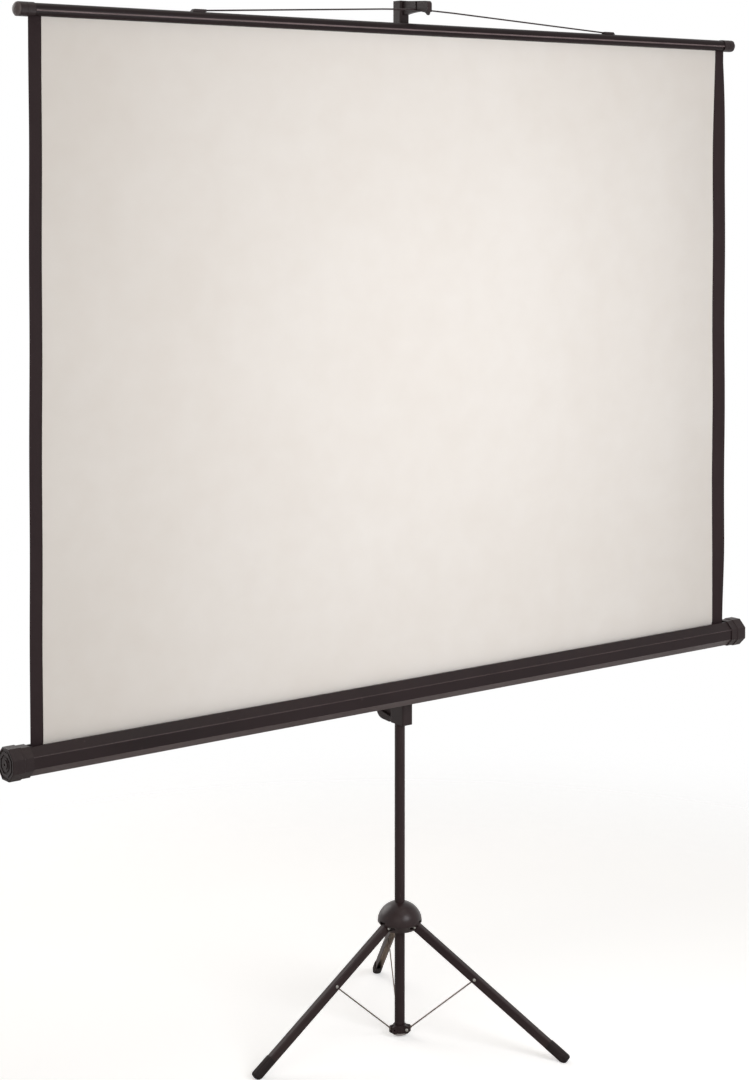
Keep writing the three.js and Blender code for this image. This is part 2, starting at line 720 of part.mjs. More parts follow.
// A closed tube along points, with a round section and flat ends.
function wireTube(points, radius, sides) {
  const position = [];
  const index = [];
  const side = new THREE.Vector3();
  const lift = new THREE.Vector3();
  const axis = new THREE.Vector3(1, 0, 0);
  points.forEach((point, i) => {
    const before = points[Math.max(i - 1, 0)];
    const after = points[Math.min(i + 1, points.length - 1)];
    const along = after.clone().sub(before).normalize();
    side.crossVectors(along, axis).normalize();
    lift.crossVectors(side, along).normalize();
    for (let k = 0; k < sides; k += 1) {
      const turn = (k / sides) * Math.PI * 2;
      const spot = point.clone();
      spot.addScaledVector(side, radius * Math.cos(turn));
      spot.addScaledVector(lift, radius * Math.sin(turn));
      position.push(spot.x, spot.y, spot.z);
    }
  });
  const last = (points.length - 1) * sides;
  for (let i = 0; i < points.length - 1; i += 1) {
    for (let k = 0; k < sides; k += 1) {
      const a = i * sides + k;
      const b = i * sides + ((k + 1) % sides);
      index.push(a, a + sides, b, b, a + sides, b + sides);
    }
  }
  for (let k = 1; k < sides - 1; k += 1) {
    index.push(0, k, k + 1);
    index.push(last, last + k + 1, last + k);
  }
  const geometry = new THREE.BufferGeometry();
  geometry.setAttribute('position', new THREE.Float32BufferAttribute(position, 3));
  geometry.setIndex(index);
  geometry.computeVertexNormals();
  return facingOut(geometry);
}

// Turns every face over when the solid would have a negative volume.
function facingOut(geometry) {
  const spots = geometry.attributes.position;
  const index = geometry.index.array;
  const corner = [new THREE.Vector3(), new THREE.Vector3(), new THREE.Vector3()];
  let volume = 0;
  for (let i = 0; i < index.length; i += 3) {
    corner.forEach((spot, k) => spot.fromBufferAttribute(spots, index[i + k]));
    volume += corner[0].dot(corner[1].clone().cross(corner[2]));
  }
  if (volume < 0) {
    for (let i = 0; i < index.length; i += 3) [index[i], index[i + 1]] = [index[i + 1], index[i]];
    geometry.computeVertexNormals();
  }
  return geometry;
}

// How far the sheet's edge curls forward: nothing at the slot and the bar, most between them.
function curlAt(x, z) {
  const inward = Math.abs(x) - (sheetHalfWidth - curlWidth);
  if (inward <= 0) return 0;
  const down = Math.min(Math.max((barBottom - z) / curlFadeTop, 0), 1);
  const up = Math.min(Math.max((z - caseTop) / curlFadeBottom, 0), 1);
  const ease = (t) => t * t * (3 - 2 * t);
  const share = inward / curlWidth;
  return curlDepth * share * share * ease(down) * ease(up);
}

// The middle of the sheet: level with the slot above the case, leaning back to the roller inside it.
function sheetMiddle(x, z) {
  const inside = Math.max((caseTop - z) / (caseTop - sheetBottom), 0);
  return sheetY + sheetLeanBack * inside - curlAt(x, z);
}

// A piece of the sheet between the first and the last of its columns, from the roller to the bar.
function sheetPiece(columns) {
  const sheetTop = barBottom + barSlotDepth - gap;
  const rows = [sheetBottom, caseTop];
  const steps = 12;
  for (let i = 1; i <= steps; i += 1) {
    const t = i / steps;
    const eased = t - (Math.sin(t * Math.PI * 2) / (Math.PI * 2)) * 0.75;
    rows.push(caseTop + (barBottom - caseTop) * eased);
  }
  rows.push(sheetTop);
  const position = [];
  const index = [];
  const wide = columns.length;
  const half = sheetThickness / 2;
  for (const face of [-half, half]) {
    for (const z of rows) {
      for (const x of columns) position.push(x, sheetMiddle(x, z) + face, z);
    }
  }
  const back = rows.length * wide;
  const quad = (a, b, c, d) => index.push(a, b, c, a, c, d);
  for (let r = 0; r < rows.length - 1; r += 1) {
    for (let c = 0; c < wide - 1; c += 1) {
      const a = r * wide + c;
      quad(a, a + 1, a + wide + 1, a + wide);
      quad(back + a, back + a + wide, back + a + wide + 1, back + a + 1);
    }
    const left = r * wide;
    const right = r * wide + wide - 1;
    quad(left, left + wide, back + left + wide, back + left);
    quad(right, back + right, back + right + wide, right + wide);
  }
  const top = (rows.length - 1) * wide;
  for (let c = 0; c < wide - 1; c += 1) {
    quad(c, back + c, back + c + 1, c + 1);
    quad(top + c, top + c + 1, back + top + c + 1, back + top + c);
  }
  const geometry = new THREE.BufferGeometry();
  geometry.setAttribute('position', new THREE.Float32BufferAttribute(position, 3));
  geometry.setIndex(index);
  geometry.computeVertexNormals();
  return facingOut(geometry);
}

function addSheet() {
  const viewHalf = viewWidth / 2;
  const curlStart = sheetHalfWidth - curlWidth;
  const flatColumns = 4;
  const curlColumns = 6;
  const columns = [];
  for (let i = 0; i < flatColumns; i += 1) columns.push(-curlStart + (2 * curlStart * i) / (flatColumns - 1));
  for (let i = 1; i <= curlColumns; i += 1) {
    const x = curlStart + ((viewHalf - curlStart) * i) / curlColumns;
    columns.push(x);
    columns.unshift(-x);
  }
  place('screen_sheet', sheetPiece(columns), whiteSheet());
  const borderColumns = 3;
  for (const side of [-1, 1]) {
    const band = [];
    for (let i = 0; i <= borderColumns; i += 1) {
      const x = viewHalf + gap + ((borderWidth - gap) * i) / borderColumns;
      band.push(side * x);
    }
    if (side < 0) band.reverse();
    place(`border_${side < 0 ? 'left' : 'right'}`, sheetPiece(band), blackSheet());
  }
}

// Top bar: a rounded batten with a step along its front, a slot for the sheet and a cap on each end.
function barOutline(height, depth, step) {
  const shape = new THREE.Shape();
  const high = height / 2;
  const front = depth / 2;
  const steps = 8;
  const pow = (value) => Math.sign(value) * Math.abs(value) ** 0.75;
  for (let i = 0; i < steps * 4; i += 1) {
    const turn = (i / (steps * 4)) * Math.PI * 2;
    const y = front * pow(Math.cos(turn));
    const z = high * pow(Math.sin(turn));
    const drawn = z < -high / 20 ? step : 0;
    if (i === 0) shape.moveTo(y - Math.sign(y) * drawn, z);
    else shape.lineTo(y - Math.sign(y) * Math.min(drawn, Math.abs(y)), z);
  }
  return shape;
}

function addBar() {
  const body = alongX(barOutline(barHeight, barDepth, barStep), 2 * barHalfLength).translate(0, sheetY, barZ);
  const slotHalf = sheetThickness / 2 + gap;
  const slot = block(
    -sheetHalfWidth - overrun, sheetHalfWidth + overrun, sheetY - slotHalf, sheetY + slotHalf,
    barBottom - overrun, barBottom + barSlotDepth,
  );
  const inside = alongX(barOutline(barHeight - 2 * barWall, barDepth - 2 * barWall, barStep), 2 * (barHalfLength + overrun));
  inside.translate(0, sheetY, barZ);
  place('top_bar', cut(body, slot, inside), blackSteel());

  const rise = 2 * barCollarRise;
  for (const side of [-1, 1]) {
    const name = side < 0 ? 'left' : 'right';
    const collar = alongX(barOutline(barHeight + rise, barDepth + rise, 0), barCollarLength);
    const collarBore = alongX(barOutline(barHeight + 2 * gap, barDepth + 2 * gap, 0), barCollarLength + overrun);
    const sheetGap = block(
      -barCollarLength, barCollarLength, -slotHalf, slotHalf, -barHeight, 0,
    );
    const sleeve = cut(collar, collarBore, sheetGap);
    sleeve.translate(side * (barHalfLength - barCollarLength / 2), sheetY, barZ);
    place(`bar_collar_${name}`, sleeve, blackPlastic());

    const start = barHalfLength + gap;
    const plain = barCapLength;
    const body = alongX(barOutline(barHeight + rise, barDepth + rise, 0), plain).translate(start + plain / 2, 0, 0);
    const fit = 2 * (barWall + gap);
    const fullSpigot = alongX(barOutline(barHeight - fit, barDepth - fit, barStep), barCapSpigot + plain);
    fullSpigot.translate(start + (plain - barCapSpigot) / 2, 0, 0);
    const sheetRoom = block(0, start, -barDepth, barDepth, -barHeight, barSlotDepth - barHeight / 2);
    const spigot = cut(fullSpigot, sheetRoom);
    const dome = new THREE.SphereGeometry(1, 20, 8);
    dome.scale(barCapDome, (barDepth + rise) / 2, (barHeight + rise) / 2).translate(start + plain, 0, 0);
    const cap = joined(body, spigot, dome);
    if (side < 0) cap.rotateZ(Math.PI);
    place(`bar_cap_${name}`, cap.translate(0, sheetY, barZ), greyPlastic());
  }
}

// Bail: a spring wire arched over the bar, held in a clip near each end.
function addBail() {
  const seatZ = barTop + bailSeat;
  const tipX = bailHalfSpan + clipLength / 4;
  const knee = 0.56;
  const half = [[0, 1], [0.2, 0.86], [knee, 0.45], [1, 0]];
  const points = [];
  for (const [xShare, riseShare] of half) {
    const height = seatZ + (bailRise - bailSeat) * riseShare;
    points.push([bailHalfSpan * xShare, height]);
  }
  points.push([tipX, seatZ]);
  const route = [];
  for (const [x, z] of [...points].reverse()) route.push(new THREE.Vector3(-x, sheetY, z));
  for (const [x, z] of points.slice(1)) route.push(new THREE.Vector3(x, sheetY, z));
  const sides = 8;
  const section = new THREE.Shape();
  section.absarc(0, 0, bailWire, 0, Math.PI * 2, false);
  const wire = new THREE.ExtrudeGeometry(section, {
    steps: 36,
    curveSegments: sides / 2,
    extrudePath: new THREE.CatmullRomCurve3(route, false, 'catmullrom', 0.3),
  });
  place('bail', wire, blackSteel());

  for (const side of [-1, 1]) {
    const centre = side * bailHalfSpan;
    const low = barTop - barHeight / 12;
    const clipTop = barTop + clipHeight;
    const inner = centre - (side * clipLength) / 2;
    const outer = centre + side * (clipLength / 2 + clipSlope);
    const brow = centre + (side * clipLength) / 2;
    const profile = [[inner, low], [outer, low], [brow, clipTop], [inner, clipTop]];
    const shape = outline(side < 0 ? profile.reverse() : profile);
    const body = alongY(shape, clipWidth, 4).translate(0, sheetY, 0);
    const boreEnd = centre + side * (clipLength / 4 + gap);
    const boreStart = centre - side * clipLength;
    const bore = rodAlongX(bailWire + gap, Math.min(boreStart, boreEnd), Math.max(boreStart, boreEnd), 12);
    const mouthDrop = (bailRise - bailSeat) / 25;
    bore.translate(0, sheetY, seatZ);
    const mouth = bore.clone().translate(0, 0, mouthDrop);
    const barFill = alongX(barOutline(barHeight + 2 * gap, barDepth + 2 * gap, 0), clipLength * 2);
    barFill.translate(centre, sheetY, barZ);
    place(`bail_clip_${side < 0 ? 'left' : 'right'}`, cut(body, bore, mouth, barFill), blackPlastic());
  }
}

// Hook: a head on the rod with an arm that reaches forward under the bail and turns down at its nose.
function addHook() {
  const bend = hookTop / 6;
  const arm = outline([[0, hookTop], [0, hookRootHeight], [hookStemFront, hookRootHeight]]);
  arm.quadraticCurveTo(hookNose * 0.5, hookArchHeight + hookTop * 0.02, hookNose * 0.72, hookArchHeight);
  arm.quadraticCurveTo(hookNose * 0.88, hookArchHeight - hookTop * 0.02, hookNose * 0.93, hookTipHeight);
  arm.lineTo(hookNose * 0.96, hookTipHeight);
  arm.quadraticCurveTo(hookNose, hookTop * 0.4, hookNose, hookTop * 0.5);
  arm.lineTo(hookNose, hookTop - hookTopDrop - bend);
  arm.quadraticCurveTo(hookNose, hookTop - hookTopDrop, hookNose - bend, hookTop - hookTopDrop);
  const armSolid = alongX(arm, hookArmWidth, 6).rotateZ(Math.PI).translate(0, 0, barTop);

  const stemMiddle = (hookStemBack - hookStemFront) / 2;
  const stemShape = roundedRect(hookWidth, hookStemFront + hookStemBack, hookStemBack / 3, 0, stemMiddle);
  const stem = pushed(stemShape, hookTop + hookStemBelow, 4).translate(0, 0, barTop - hookStemBelow);
  const notch = block(
    -hookArmWidth, hookArmWidth, sheetY - notchWidth / 2, sheetY + notchWidth / 2,
    barTop + notchFloor, barTop + hookTop + overrun,
  );
  const besideClaw = [-1, 1].map((side) => {
    const from = (side * hookClawWidth) / 2;
    const to = side * hookArmWidth;
    const clawTop = barTop + hookArchHeight - hookClawWidth / 2;
    return block(Math.min(from, to), Math.max(from, to), -hookNose - overrun, -hookNose * 0.8, barTop, clawTop);
  });
  const socketTop = barTop + hookRodDepth / 2 + gap;
  const socket = rodAlongZ(rodRadius + gap, barTop - hookStemBelow - overrun, socketTop, 24);
  place('hook_head', cut(joined(armSolid, stem), notch, socket, ...besideClaw), blackPlastic());
}

// Slide block: carries the case on the pole, with the lever that frees it.
function addSlideBlock() {
  const top = blockBottom + blockHeight;
  const half = blockWidth / 2;
  const bodyShape = roundedRect(blockWidth, blockBack - blockFace, blockRound, 0, (blockBack + blockFace) / 2);
  const body = pushed(bodyShape, blockHeight, 4).translate(0, 0, blockBottom);
  const cheekShape = new THREE.Shape();
  cheekShape.moveTo(blockBack - blockRound, leverPivotHeight - cheekRadius * 2);
  cheekShape.lineTo(leverPivotBack, leverPivotHeight - cheekRadius);
  cheekShape.absarc(leverPivotBack, leverPivotHeight, cheekRadius, -Math.PI / 2, Math.PI / 2, false);
  cheekShape.lineTo(blockBack - blockRound, leverPivotHeight + cheekRadius * 2);
  const cheeks = [-1, 1].map((side) => {
    const cheek = alongX(cheekShape, cheekThickness, 8);
    return cheek.translate(side * (half - cheekThickness / 2), 0, 0);
  });
  const bore = rodAlongZ(blockBore, blockBottom - overrun, top + overrun, 28);
  const pinHole = rodAlongX(leverPinRadius + gap, -blockWidth, blockWidth, 16);
  pinHole.translate(0, leverPivotBack, leverPivotHeight);
  const shoeHalf = shoeWidth / 2;
  const window = block(
    -shoeHalf - gap, shoeHalf + gap, 0, blockBack + overrun,
    leverPivotHeight - shoeHeight / 2 - gap, leverPivotHeight + shoeHeight / 2 + gap,
  );
  const boltHole = rodAlongY(boltRadius + gap, blockFace - overrun, 0, 16).translate(0, 0, swivelHeight);
  place('slide_block', cut(joined(body, ...cheeks), bore, pinHole, window, boltHole), blackPlastic());

  const shoe = block(
    -shoeHalf, shoeHalf, tubeRadius / 2, blockBack - gap,
    leverPivotHeight - shoeHeight / 2, leverPivotHeight + shoeHeight / 2,
  );
  place('brake_shoe', cut(shoe, rodAlongZ(blockBore, 0, tubeTop, 28)), rubber());

  const pinHalf = half + gap;
  const pin = rodAlongX(leverPinRadius, -pinHalf, pinHalf, 16).translate(0, leverPivotBack, leverPivotHeight);
  place('lever_pin', pin, zincSteel());
  addLever();
  addCaseMount();
}

function addLever() {
  const leverHalf = blockWidth / 2 - cheekThickness - gap;
  const front = blockBack + gap;
  const headRadius = leverPivotBack - front;
  const side = new THREE.Shape();
  side.moveTo(front, leverPivotHeight);
  side.lineTo(front, leverBottom + leverWall * 3);
  side.quadraticCurveTo(front, leverBottom, front + leverWall * 4, leverBottom);
  side.lineTo(leverReach * 0.72, leverBottom + leverWall);
  side.quadraticCurveTo(leverReach, leverBottom + leverWall * 3, leverReach, leverPivotHeight - leverWall * 9);
  side.quadraticCurveTo(
    leverReach * 0.7, leverPivotHeight - leverWall * 6, leverPivotBack + headRadius, leverPivotHeight,
  );
  side.absarc(leverPivotBack, leverPivotHeight, headRadius, 0, Math.PI, false);
  const web = alongX(side, leverWeb, 10);

  // The trough: the same outline, open above a rim that rises toward the tip.
  const above = outline([
    [front + leverWall, leverBottom + leverRim],
    [leverReach + overrun, leverBottom + leverRim * 2],
    [leverReach + overrun, leverPivotHeight * 2],
    [front + leverWall, leverPivotHeight * 2],
  ]);
  const hollow = new THREE.Shape();
  hollow.moveTo(front + leverWall, leverPivotHeight * 2);
  hollow.lineTo(front + leverWall, leverBottom + leverWall * 3);
  hollow.lineTo(front + leverWall * 5, leverBottom + leverWall * 1.5);
  hollow.lineTo(leverReach * 0.7, leverBottom + leverWall * 2.5);
  hollow.quadraticCurveTo(leverReach - leverWall, leverBottom + leverWall * 5, leverReach - leverWall, leverPivotHeight * 2);
  const core = alongX(hollow, 2 * (leverHalf - leverWall), 8);
  const trough = cut(alongX(side, 2 * leverHalf, 10), core, alongX(above, 3 * leverHalf));
  const head = rodAlongX(headRadius, -leverHalf, leverHalf, 20).translate(0, leverPivotBack, leverPivotHeight);
  const hole = rodAlongX(leverPinRadius + gap, -blockWidth, blockWidth, 16);
  hole.translate(0, leverPivotBack, leverPivotHeight);
  place('release_lever', cut(joined(trough, web, head), hole), blackPlastic());
}

// Swivel mount between the slide block and the back of the case: one plate on each, on one bolt.
function addCaseMount() {
  const plateShape = roundedRect(swivelPlateSize, swivelPlateSize * swivelHeightShare, blockRound, 0, swivelHeight);
  const nearPlate = alongY(plateShape, swivelPlate, 4).translate(0, blockFace - gap - swivelPlate / 2, 0);
  const hole = rodAlongY(boltRadius + gap, caseBack - overrun, 0, 16).translate(0, 0, swivelHeight);
  place('swivel_plate', cut(nearPlate, hole), zincSteel());

  const farMiddle = caseBack + gap + swivelPlate / 2;
  const flatShape = roundedRect(casePlateLength, caseFacet * casePlateShare, blockRound, 0, caseAxisHeight);
  const flat = alongY(flatShape, swivelPlate, 4).translate(0, farMiddle, 0);
  const tongue = alongY(plateShape, swivelPlate, 4).translate(0, farMiddle, 0);
  place('case_plate', cut(joined(flat, tongue), hole), blackSteel());

  const bolt = rodAlongY(boltRadius, caseBack + gap, blockFace + boltInBlock, 16).translate(0, 0, swivelHeight);
  place('swivel_bolt', bolt, zincSteel());
}

addPole();
addCollar();
addStayBracket();
addHub();
addLegs();
addCase();
addRoller();
addSheet();
addBar();
addBail();
addHook();
addSlideBlock();

export default part;
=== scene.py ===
import json
import math

import bmesh
import bpy
from mathutils import Matrix, Vector

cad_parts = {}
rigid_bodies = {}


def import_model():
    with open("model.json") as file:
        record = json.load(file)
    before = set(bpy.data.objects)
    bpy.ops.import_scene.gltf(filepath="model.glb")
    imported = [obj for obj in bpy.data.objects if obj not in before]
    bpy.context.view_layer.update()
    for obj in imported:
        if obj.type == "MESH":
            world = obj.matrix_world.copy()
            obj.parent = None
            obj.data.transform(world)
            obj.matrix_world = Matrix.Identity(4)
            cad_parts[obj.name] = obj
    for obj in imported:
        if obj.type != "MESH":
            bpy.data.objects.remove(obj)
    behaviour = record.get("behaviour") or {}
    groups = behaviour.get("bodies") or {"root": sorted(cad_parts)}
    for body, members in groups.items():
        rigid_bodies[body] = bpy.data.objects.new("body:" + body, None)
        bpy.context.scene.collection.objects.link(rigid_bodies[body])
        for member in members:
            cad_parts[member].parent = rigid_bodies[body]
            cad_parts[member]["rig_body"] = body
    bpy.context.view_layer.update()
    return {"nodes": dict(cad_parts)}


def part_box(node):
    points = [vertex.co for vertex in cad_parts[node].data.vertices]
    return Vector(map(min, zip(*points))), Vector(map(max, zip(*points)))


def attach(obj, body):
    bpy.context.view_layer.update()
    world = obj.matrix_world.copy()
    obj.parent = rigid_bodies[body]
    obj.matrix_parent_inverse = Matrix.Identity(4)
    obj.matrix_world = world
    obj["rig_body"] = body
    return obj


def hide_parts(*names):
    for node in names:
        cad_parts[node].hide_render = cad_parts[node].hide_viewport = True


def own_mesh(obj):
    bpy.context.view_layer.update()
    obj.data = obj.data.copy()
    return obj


# A portable projection screen on a tripod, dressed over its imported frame. Metres, +Z up, the picture faces -Y.

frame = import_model()
mm = 0.001
print("frame loaded:", len(frame["nodes"]), "nodes")


# Camera, lights and floor

camera = {
    "place": (-2.77198, -3.52276, 1.79913),
    "yaw": 37.5229,
    "tilt": 2.4401,
    "lens": 72.2587,
    "shift": -0.25,
}
lights = {
    "key": {
        "place": (0.11, -1.78, 1.49), "aim": (0.08, 0, 1.49), "size": 1.1, "watts": 24,
        "colour": (0.945, 0.963, 1),
    },
    "fill": {
        "place": (-3.4, -3.0, 2.4), "aim": (0, 0, 0.7), "size": 2.8, "watts": 17,
        "colour": (1, 0.93, 0.84),
    },
    "top": {
        "place": (0.3, -0.6, 4.6), "aim": (0, 0, 0.4), "size": 3.2, "watts": 28,
        "colour": (1, 0.94, 0.86),
    },
    "back": {
        "place": (-0.8, 3.6, 2.4), "aim": (0, 0, 0.8), "size": 3.2, "watts": 60,
        "colour": (1, 0.98, 0.96),
    },
}
room = {
    "floorSize": 16.0, "floorDrop": 0.5 * mm, "floorTone": 0.9, "floorRough": 0.8, "floorShine": 0.1,
    "floorLift": 0.46,  # how far the camera sees it lifted toward white
    "clearFrom": 1.0, "clearTo": 2.4,  # the ring in which it fades out
    "worldLevel": 0.18, "worldTint": (1, 0.92, 0.82),
}


def addCamera():
    data = bpy.data.cameras.new("camera")
    data.lens = camera["lens"]
    data.shift_y = camera["shift"]
    data.clip_start, data.clip_end = 0.1, 60
    eye = bpy.data.objects.new("camera", data)
    eye.location = camera["place"]
    eye.rotation_euler = (math.radians(90 - camera["tilt"]), 0, -math.radians(camera["yaw"]))
    bpy.context.scene.collection.objects.link(eye)
    bpy.context.scene.camera = eye


def addLights():
    for name, lamp in lights.items():
        data = bpy.data.lights.new(name, "AREA")
        data.shape = "DISK"
        data.size = lamp["size"]
        data.energy = lamp["watts"]
        data.color = lamp["colour"]
        lampObject = bpy.data.objects.new(name, data)
        lampObject.location = lamp["place"]
        toward = Vector(lamp["aim"]) - Vector(lamp["place"])
        lampObject.rotation_euler = toward.to_track_quat("-Z", "Y").to_euler()
        lampObject.visible_camera = False
        bpy.context.scene.collection.objects.link(lampObject)


def addWorld():
    world = bpy.data.worlds.new("studio")
    bpy.context.scene.world = world
    world.use_nodes = True
    nodes, links = world.node_tree.nodes, world.node_tree.links
    background = nodes["Background"]
    path = nodes.new("ShaderNodeLightPath")
    seen = None
    for ray in ("Is Camera Ray", "Is Glossy Ray", "Is Transmission Ray"):
        if seen is None:
            seen = path.outputs[ray]
            continue
        either = nodes.new("ShaderNodeMath")
        either.operation = "MAXIMUM"
        links.new(seen, either.inputs[0])
        links.new(path.outputs[ray], either.inputs[1])
        seen = either.outputs[0]
    level = nodes.new("ShaderNodeMapRange")
    level.inputs["To Min"].default_value = room["worldLevel"]
    level.inputs["To Max"].default_value = 1.0
    links.new(seen, level.inputs["Value"])
    links.new(level.outputs["Result"], background.inputs["Strength"])
    tint = nodes.new("ShaderNodeMix")
    tint.data_type = "RGBA"
    tint.inputs[6].default_value = (*room["worldTint"], 1)
    tint.inputs[7].default_value = (1, 1, 1, 1)
    links.new(seen, tint.inputs["Factor"])
    links.new(tint.outputs[2], background.inputs["Color"])


def addFloor():
    bm = bmesh.new()
    bmesh.ops.create_grid(bm, x_segments=2, y_segments=2, size=room["floorSize"] / 2)
    mesh = bpy.data.meshes.new("floor")
    bm.to_mesh(mesh)
    bm.free()
    floor = bpy.data.objects.new("floor", mesh)
    floor.location.z = -room["floorDrop"]
    bpy.context.scene.collection.objects.link(floor)
    material = bpy.data.materials.new("paleFloor")
    material.use_nodes = True
    nodes, links = material.node_tree.nodes, material.node_tree.links
    shader = nodes["Principled BSDF"]
    tone = room["floorTone"]
    shader.inputs["Base Color"].default_value = (tone, tone, tone, 1)
    shader.inputs["Roughness"].default_value = room["floorRough"]
    shader.inputs["Specular IOR Level"].default_value = room["floorShine"]
    # lifted toward white where it is looked at, with the shadows kept
    path = nodes.new("ShaderNodeLightPath")
    lift = nodes.new("ShaderNodeMapRange")
    lift.inputs["To Max"].default_value = room["floorLift"]
    links.new(path.outputs["Is Camera Ray"], lift.inputs["Value"])
    shader.inputs["Emission Color"].default_value = (1, 1, 1, 1)
    links.new(lift.outputs["Result"], shader.inputs["Emission Strength"])
    # and faded out into the white round it
    where = nodes.new("ShaderNodeTexCoord")
    reach = nodes.new("ShaderNodeVectorMath")
    reach.operation = "LENGTH"
    links.new(where.outputs["Object"], reach.inputs[0])
    fade = nodes.new("ShaderNodeMapRange")
    fade.interpolation_type = "SMOOTHSTEP"
    fade.inputs["From Min"].default_value = room["clearFrom"]
    fade.inputs["From Max"].default_value = room["clearTo"]
    links.new(reach.outputs["Value"], fade.inputs["Value"])
    clear = nodes.new("ShaderNodeBsdfTransparent")
    mix = nodes.new("ShaderNodeMixShader")
    links.new(fade.outputs["Result"], mix.inputs[0])
    links.new(shader.outputs["BSDF"], mix.inputs[1])
    links.new(clear.outputs["BSDF"], mix.inputs[2])
    links.new(mix.outputs["Shader"], nodes["Material Output"].inputs["Surface"])
    mesh.materials.append(material)


bpy.context.scene.view_settings.view_transform = "Standard"
addCamera()
addLights()
addWorld()
addFloor()
print("camera, lights and floor made")


# Finishes

def linear(colour):
    return tuple(c / 12.92 if c <= 0.04045 else ((c + 0.055) / 1.055) ** 2.4 for c in (v / 255 for v in colour))


finishes = {
    "paintedSteel": {
        "slot": "painted_steel", "colour": (44, 31, 33), "second": (51, 39, 39), "rough": (0.36, 0.5),
        "grain": 900, "depth": 0.05, "patch": 9, "mark": (96, 86, 82),
    },
    "caseEnamel": {
        "slot": "painted_steel", "colour": (34, 24, 25), "second": (41, 30, 31), "rough": (0.32, 0.44),
        "shine": 0.16, "grain": 1300, "depth": 0.03, "patch": 5, "mark": (92, 82, 80),
    },
    "barEnamel": {
        "slot": "painted_steel", "colour": (28, 19, 20), "second": (34, 24, 25), "rough": (0.32, 0.44),
        "shine": 0.12, "grain": 1300, "depth": 0.03, "patch": 5, "mark": (84, 74, 72),
    },
    # painted highlights: the case's rib and the bar's ridges are coloured lighter than their enamel to stand in
    # for the light they catch
    "ribHighlight": {
        "slot": "painted_steel", "colour": (78, 64, 65), "second": (62, 50, 51), "rough": (0.28, 0.38),
        "grain": 1300, "depth": 0.03, "patch": 12, "mark": (110, 98, 98),
    },
    "ridgeHighlight": {
        "slot": "painted_steel", "colour": (128, 112, 113), "second": (108, 94, 95), "rough": (0.25, 0.35),
        "grain": 1300, "depth": 0.03, "patch": 12, "mark": (140, 130, 128),
    },
    # painted reflected light: the inside of the leg channels, paler than their paint
    "legInsidePaintedLight": {
        "slot": "painted_steel", "colour": (206, 192, 180), "second": (176, 163, 153), "rough": (0.35, 0.5),
        "grain": 900, "depth": 0.05, "patch": 16, "mark": (170, 160, 150),
    },
    "blackPlastic": {
        "slot": "black_plastic", "colour": (42, 31, 32), "second": (48, 38, 38), "rough": (0.4, 0.52),
        "grain": 1600, "depth": 0.1, "patch": 30, "mark": (74, 66, 64),
    },
    "domePlastic": {
        "slot": "dome_plastic", "colour": (40, 26, 27), "second": (45, 31, 31), "rough": (0.28, 0.36),
        "shine": 0.26, "grain": 500, "depth": 0.02, "patch": 25, "mark": (72, 64, 62),
    },
    "greyPlastic": {
        "slot": "grey_plastic", "colour": (108, 98, 99), "second": (118, 109, 109), "rough": (0.38, 0.5),
        "grain": 1500, "depth": 0.06, "patch": 30, "mark": (138, 130, 129),
    },
    "palePlastic": {
        "slot": "grey_plastic", "colour": (176, 170, 168), "second": (160, 153, 151), "rough": (0.38, 0.5),
        "grain": 1500, "depth": 0.06, "patch": 60, "mark": (196, 191, 188),
    },
    "caseUnder": {
        "slot": "painted_steel", "colour": (84, 71, 71), "second": (74, 62, 62), "rough": (0.3, 0.4),
        "grain": 1300, "depth": 0.03, "patch": 5, "mark": (120, 108, 106),
    },
    "stayWire": {
        "slot": "zinc_steel", "colour": (132, 119, 113), "second": (112, 100, 96), "rough": (0.3, 0.42),
        "grain": 2000, "depth": 0.05, "patch": 60, "mark": (160, 150, 145), "metal": 0.7,
    },
    "bootRubber": {
        "slot": "rubber", "colour": (34, 28, 28), "second": (41, 34, 34), "rough": (0.62, 0.78),
        "grain": 1200, "depth": 0.16, "patch": 40, "mark": (60, 55, 53),
    },
    "zincPlate": {
        "slot": "zinc_steel", "colour": (186, 184, 178), "second": (168, 166, 161), "rough": (0.24, 0.4),
        "grain": 2000, "depth": 0.05, "patch": 60, "mark": (205, 203, 198), "metal": 0.9,
    },
    "rollerAluminium": {
        "slot": "roller_metal", "colour": (190, 190, 190), "second": (176, 176, 176), "rough": (0.28, 0.38),
        "grain": 1500, "depth": 0.04, "patch": 30, "mark": (205, 205, 205), "metal": 0.9,
    },
}


def noise(tree, coordinates, scale, detail=3.0, rough=0.5):
    texture = tree.nodes.new("ShaderNodeTexNoise")
    texture.inputs["Scale"].default_value = scale
    texture.inputs["Detail"].default_value = detail
    texture.inputs["Roughness"].default_value = rough
    tree.links.new(coordinates, texture.inputs["Vector"])
    return texture.outputs["Fac"]


def ramp(tree, value, low, high, lowTo=0.0, highTo=1.0):
    spread = tree.nodes.new("ShaderNodeMapRange")
    spread.inputs["From Min"].default_value = low
    spread.inputs["From Max"].default_value = high
    spread.inputs["To Min"].default_value = lowTo
    spread.inputs["To Max"].default_value = highTo
    tree.links.new(value, spread.inputs["Value"])
    return spread.outputs["Result"]


def blendColours(tree, share, first, second):
    mix = tree.nodes.new("ShaderNodeMix")
    mix.data_type = "RGBA"
    tree.links.new(share, mix.inputs["Factor"])
    for socket, colour in ((mix.inputs[6], first), (mix.inputs[7], second)):
        if isinstance(colour, tuple):
            socket.default_value = (*linear(colour), 1)
        else:
            tree.links.new(colour, socket)
    return mix.outputs[2]


def combine(tree, kind, first, second):
    joined = tree.nodes.new("ShaderNodeMath")
    joined.operation = kind
    for socket, value in zip(joined.inputs, (first, second)):
        if isinstance(value, (int, float)):
            socket.default_value = value
        else:
            tree.links.new(value, socket)
    return joined.outputs[0]


def bumpFrom(tree, height, strength, distance):
    bump = tree.nodes.new("ShaderNodeBump")
    bump.inputs["Strength"].default_value = strength
    bump.inputs["Distance"].default_value = distance
    tree.links.new(height, bump.inputs["Height"])
    return bump.outputs["Normal"]


